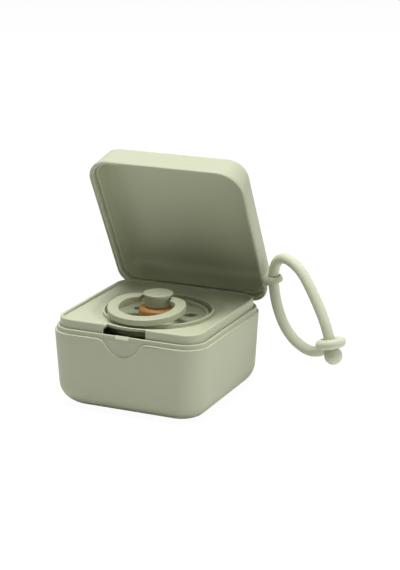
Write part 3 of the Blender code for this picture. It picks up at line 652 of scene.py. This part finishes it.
def makeHandle():
    # an open ring whose two ends hook in towards the knob, drawn flat about its pivot
    half = handle["width"] / 2
    start, end = handle["hookStart"], handle["hookStart"] + handle["hookSweep"]
    hook = hookMiddle()
    ringMiddle = (0, -handle["setBack"])
    right = arcPoints(ringMiddle, handle["radius"], -90, start, 44)
    right += arcPoints(hook, handle["hookRadius"] + half, start, end, 14)[1:]
    right += arcPoints(handleTip(), half, end, end + 180, 14)[1:-1]
    right += arcPoints(hook, handle["hookRadius"] - half, end, start, 14)
    right += arcPoints(ringMiddle, handle["radius"] - handle["width"], start, -90, 44)[1:]
    left = [(-x, y) for x, y in reversed(right)]
    outline = right[:-1] + left[:-1]
    thick = handle["thickness"] / 2
    tilt = (Matrix.Translation((0, 0, (knob["pegHeight"] - handle["drop"]) * mm))
            @ Matrix.Rotation(math.radians(handle["tilt"]), 4, "X"))
    flat = prism(outline, -thick - handle["below"], thick, "Z")
    ring = toPiece("ring_handle_moulding", flat, sageSatin, tilt)
    # the pegs come after the rounding, because the thin tips would fold under it
    roundEdges(ring, handle["edge"], handle["edgeSteps"])
    for side in (-1, 1):
        peg = rod(knob["pegRadius"], side * handle["pegInner"], side * handleTip()[0], (0, handle["drop"]))
        carve(ring, peg, "UNION", tilt)
    evenShading(ring)
    settle(ring, "handle", "pacifier_plastic", "ring_handle")


makeShield()
makeNipple()
makeKnob()
makeHandle()
print("pacifier made")


# Lid shell, drawn closed and leaned open about the hinge
lid = {"half": 36.63, "corner": 11.07, "taper": 2.75, "topRound": 3.97, "bottom": 34.3, "top": 48.6,
       "ceiling": 46.8, "innerFillet": 4.5, "innerTaper": 0.9, "lipHalf": 35.15, "ledge": 36.65,
       "innerHalf": 33.9, "innerStep": 39.0, "innerStepRound": 1.5, "bead": 1.1, "proud": 0.25,
       "beadRound": 0.6, "beadInset": 0.15, "beadSlope": 0.5, "skirt": 0.9, "backCorner": 2.4,
       "skirtHalf": 36.15, "ridge": 0.6, "ridgeRise": 0.5, "backReach": 0.2, "lean": 62.22, "pocketPlay": 0.2,
       "webInset": 0.6, "webRise": 0.3, "skirtGapRise": 0.05, "edge": 0.25, "overrun": 1.2, "margin": 1.0}
eyelet = {"hole": 2.6, "wall": 1.25, "height": 3.0, "slope": 0.2, "flare": 0.3, "root": (2.4, 2.7),
          "rootPlace": (-4.1, -0.6, -0.9), "place": (40.5, 24.0, 36.15), "reach": 4.0}


def eyeletLug():
    # a skin stretched round a leaning ring and an oval patch on the lid's side; its hole is cut later
    middle = eyelet["hole"] + eyelet["wall"] / 2
    section = [(middle + a * eyelet["wall"] - b * eyelet["flare"] * eyelet["height"], b * eyelet["height"])
               for a, b in arcPoints((0, 0), 0.5, 0, 360, 20)[:-1]]
    slant = Matrix.Identity(4)
    slant[2][0] = eyelet["slope"]
    slant[2][1] = eyelet["slope"] * math.tan(math.radians(cameraView["azimuth"]))
    bm = turned(section, closed=True, steps=64)
    bmesh.ops.transform(bm, matrix=slant, verts=bm.verts[:])
    bmesh.ops.delete(bm, geom=bm.faces[:], context="FACES_ONLY")
    back, across, up = eyelet["rootPlace"]
    for a, b in arcPoints((0, 0), 1, 0, 360, 32)[:-1]:
        bm.verts.new((back, across + a * eyelet["root"][0], up + b * eyelet["root"][1]))
    bmesh.ops.convex_hull(bm, input=bm.verts[:])
    # what lies inside the skin goes
    bmesh.ops.delete(bm, geom=[vert for vert in bm.verts if not vert.link_faces], context="VERTS")
    bmesh.ops.delete(bm, geom=[edge for edge in bm.edges if not edge.link_faces], context="EDGES")
    return bm


def makeLid():
    half, bottom, top = lid["half"], lid["bottom"], lid["top"]
    outer, low = half + lid["proud"], bottom - lid["skirt"]
    ridgeHalf, ridgeHeight = lid["innerHalf"] + lid["ridge"], lid["ledge"] - lid["ridgeRise"]
    points = roundedOutline([
        (0, top, 0),
        (half - lid["taper"], top, lid["topRound"]),
        (half - lid["beadInset"], bottom + lid["bead"] + lid["beadSlope"], cut["mild"]),
        (outer, bottom + lid["bead"], cut["full"]),
        (outer, low, lid["beadRound"]),
        (lid["skirtHalf"], low, cut["light"]),
        (lid["skirtHalf"], bottom, cut["fine"]),
        (lid["lipHalf"], bottom, cut["small"]),
        (lid["lipHalf"], lid["ledge"], cut["fine"]),
        (ridgeHalf, lid["ledge"], cut["crisp"]),
        (ridgeHalf, ridgeHeight, cut["fine"]),
        (lid["innerHalf"], ridgeHeight, cut["light"]),
        (lid["innerHalf"], lid["innerStep"], lid["innerStepRound"]),
        (lid["innerHalf"] - lid["innerTaper"], lid["ceiling"], lid["innerFillet"]),
        (0, lid["ceiling"], 0),
    ])
    place = jointPlaces["lid_hinge"] * mm
    lean = (Matrix.Translation(place) @ Matrix.Rotation(math.radians(-lid["lean"]), 4, "X")
            @ Matrix.Translation(-place))
    skin = squareShell(points[1:-1], outer, lid["corner"] + lid["proud"])
    # the corners by the hinge are tighter than those in front
    straight = half - lid["corner"]
    for vert in skin.verts:
        aside, behind = abs(vert.co.x) - straight, vert.co.y - straight
        if aside > 0 and behind > 0:
            reach = math.hypot(aside, behind)
            vert.co.x += math.copysign(lid["backCorner"] * (1 - aside / reach), vert.co.x)
            vert.co.y += lid["backCorner"] * (1 - behind / reach)
    # the side by the hinge reaches a little further back than the others reach out
    backVerts = [vert for vert in skin.verts if vert.co.y > 0]
    bmesh.ops.translate(skin, vec=(0, lid["backReach"], 0), verts=backVerts)
    cover = toPiece("lid_shell_moulding", skin, sagePlastic, lean)
    back, middle = jointPlaces["lid_hinge"].yz
    bandHalf = base["half"] - base["stepWidth"]
    # the latch tab goes into a pocket that is open below
    pocketFront = -bandHalf - latchTab["proud"] - lid["pocketPlay"]
    pocketTop = base["rimHeight"] + latchTab["rise"] + lid["pocketPlay"]
    pocketBack, pocketFoot = -lid["lipHalf"] + lid["overrun"], low - lid["overrun"]
    pocket = [(pocketFront, pocketFoot), (pocketFront, pocketTop), (pocketBack, pocketTop),
              (pocketBack, pocketFoot)]
    reach = latchTab["halfWidth"] + lid["pocketPlay"]
    carve(cover, prism(pocket, -reach, reach, "X"), turn=lean)
    upright = Matrix.Rotation(math.radians(lid["lean"]), 4, "X")
    eyeletPlace = lean @ Matrix.Translation(Vector(eyelet["place"]) * mm) @ upright
    carve(cover, eyeletLug(), "UNION", eyeletPlace)
    carve(cover, rod(eyelet["hole"], -eyelet["reach"], eyelet["reach"], (0, 0), "Z"), turn=eyeletPlace)
    roundEdges(cover, lid["edge"])
    # the hinge comes after the rounding, because its thin steps would fold under it
    knuckle = hinge["lidLength"] / 2
    far = knuckle + 2 * hinge["gap"] + hinge["baseLength"]
    gapBack, gapFoot, gapTop = back + hinge["radius"], low - lid["margin"], bottom + lid["skirtGapRise"]
    # the rim's skirt is cut away along the whole hinge
    skirtGap = [(lid["lipHalf"], gapFoot), (gapBack, gapFoot), (gapBack, gapTop), (lid["lipHalf"], gapTop)]
    carve(cover, prism(skirtGap, -far, far, "X"), turn=lean)
    # room for the base's two knuckles
    for side in (-1, 1):
        clearance = rod(hinge["radius"] + hinge["gap"], side * knuckle, side * far, (back, middle))
        carve(cover, clearance, turn=lean)
    webFront, webFoot = lid["lipHalf"] + lid["webInset"], bottom + lid["webRise"]
    webTop = bottom + hinge["radius"]
    web = [(webFront, webFoot), (back, webFoot), (back, webTop), (webFront, webTop)]
    carve(cover, prism(web, -knuckle + hinge["gap"], knuckle - hinge["gap"], "X"), "UNION", lean)
    carve(cover, rod(hinge["radius"], -knuckle, knuckle, (back, middle)), "UNION", lean)
    reach = knuckle + lid["margin"]
    carve(cover, rod(hinge["pinRadius"] + hinge["gap"], -reach, reach, (back, middle)), turn=lean)
    evenShading(cover)
    settle(cover, "lid", "shell_plastic", "lid_shell")


makeLid()
print("lid made")

# The hinge pin keeps its CAD shape
for slot in frame["nodes"]["hinge_pin"].material_slots:
    slot.material = pinSteel


# Floor, backdrop and light
studio = {"floorSize": 8.0, "floorWhite": 0.82, "ambient": 0.03, "whiteShare": 0.96, "shadowShare": 0.08}
# A broad and a small lamp overhead, one high on the left, a faint one low on the left and two on the right
lamps = {
    "top": {"place": (0.0, 0.0, 1.2), "size": 0.85, "watts": 10.4},
    "spot": {"place": (0.0, 0.0, 1.2), "size": 0.3, "watts": 2.7},
    "left": {"place": (-0.3, 0.15, 1.12), "size": 0.55, "watts": 4.7},
    "leftLow": {"place": (-1.2, -0.3, 0.2), "size": 0.7, "watts": 1.0},
    "right": {"place": (1.2, -0.15, 0.15), "size": 0.7, "watts": 4.1},
    "rightHigh": {"place": (1.1, 0.2, 0.5), "size": 0.9, "watts": 2.2},
}


def makeFloor():
    material, tree = newMaterial("pale_floor")
    seen = addNode(tree, "ShaderNodeLightPath").outputs["Is Camera Ray"]
    matt = addNode(tree, "ShaderNodeBsdfDiffuse", {"Color": (studio["floorWhite"],) * 3 + (1,)})
    faint = addNode(tree, "ShaderNodeBsdfDiffuse", {"Color": (studio["shadowShare"],) * 3 + (1,)})
    glow = addNode(tree, "ShaderNodeEmission", {"Strength": studio["whiteShare"]})
    shown = addNode(tree, "ShaderNodeAddShader", {0: faint.outputs[0], 1: glow.outputs[0]})
    mixed = addNode(tree, "ShaderNodeMixShader", {0: seen, 1: matt.outputs[0], 2: shown.outputs[0]})
    addNode(tree, "ShaderNodeOutputMaterial", {"Surface": mixed.outputs[0]})
    bm = bmesh.new()
    bmesh.ops.create_grid(bm, x_segments=2, y_segments=2, size=studio["floorSize"] / 2 / mm)
    toPiece("floor", bm, material)


def makeLight():
    world = bpy.data.worlds.new("studio")
    bpy.context.scene.world = world
    world.use_nodes = True
    tree = world.node_tree
    tree.nodes.clear()
    path = addNode(tree, "ShaderNodeLightPath")
    ray = path.outputs["Is Camera Ray"]
    for name in ("Is Glossy Ray", "Is Transmission Ray"):
        ray = addNode(tree, "ShaderNodeMath", {0: ray, 1: path.outputs[name]}, operation="MAXIMUM").outputs[0]
    ambient = addNode(tree, "ShaderNodeBackground", {"Color": (1, 1, 1, 1), "Strength": studio["ambient"]})
    white = addNode(tree, "ShaderNodeBackground", {"Color": (1, 1, 1, 1), "Strength": 1.0})
    mixed = addNode(tree, "ShaderNodeMixShader", {0: ray, 1: ambient.outputs[0], 2: white.outputs[0]})
    addNode(tree, "ShaderNodeOutputWorld", {"Surface": mixed.outputs[0]})
    for name, lamp in lamps.items():
        light = bpy.data.lights.new(name + "_lamp", "AREA")
        light.size = lamp["size"]
        light.energy = lamp["watts"]
        holder = bpy.data.objects.new(name + "_lamp", light)
        bpy.context.scene.collection.objects.link(holder)
        holder.location = lamp["place"]
        aim = Vector(lamp["place"]) - Vector(cameraView["target"])
        holder.rotation_euler = aim.to_track_quat("Z", "Y").to_euler()


makeFloor()
makeLight()
bpy.context.scene.view_settings.view_transform = "Standard"
print("studio made")
